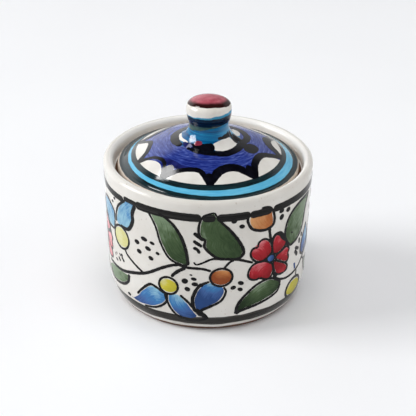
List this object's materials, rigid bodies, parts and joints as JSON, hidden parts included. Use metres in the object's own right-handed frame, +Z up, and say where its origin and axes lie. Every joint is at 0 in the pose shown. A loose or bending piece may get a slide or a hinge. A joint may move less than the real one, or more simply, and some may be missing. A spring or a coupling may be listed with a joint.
{
  "type": "lidded jam pot",
  "caption": "Round glazed earthenware jam pot with a domed lid and a pinch knob; the lid drops onto a ledge inside the rim and lifts off; hand-painted flowers and leaves run round the wall.",
  "frame": {"origin": "centre of the base, on the surface that the pot stands on", "axes": "+Z up along the axis of the pot, the lid and the knob; -Y is the side that faces the camera in the picture; +X is to the right"},
  "size_m": [0.096, 0.096, 0.0968],
  "materials": {
    "cream_glaze": "glossy clear glaze over cream slip",
    "cobalt_glaze": "glossy, brushed cobalt blue",
    "knob_glaze": "glossy, painted in bands",
    "bare_clay": "unglazed buff clay",
    "black_outline": "glossy brushed black underglaze",
    "leaf_green": "glossy brushed green underglaze",
    "petal_blue": "glossy blue wash, pale to deep",
    "berry_red": "glossy brushed red underglaze",
    "bud_orange": "glossy brushed orange-brown underglaze",
    "seed_yellow": "glossy yellow wash",
    "ring_turquoise": "glossy turquoise band",
    "dark_teal": "glossy blue-black band"
  },
  "bodies": {
    "pot": {"pot_body": "cream_glaze"},
    "lid": {"lid_dome": "cobalt_glaze", "lid_knob": "knob_glaze"}
  },
  "joints": [
    {"name": "lid_lift", "type": "slide", "parent": "pot", "child": "lid", "axis": [0, 0, 1], "range_m": [0, 0.06]}
  ]
}
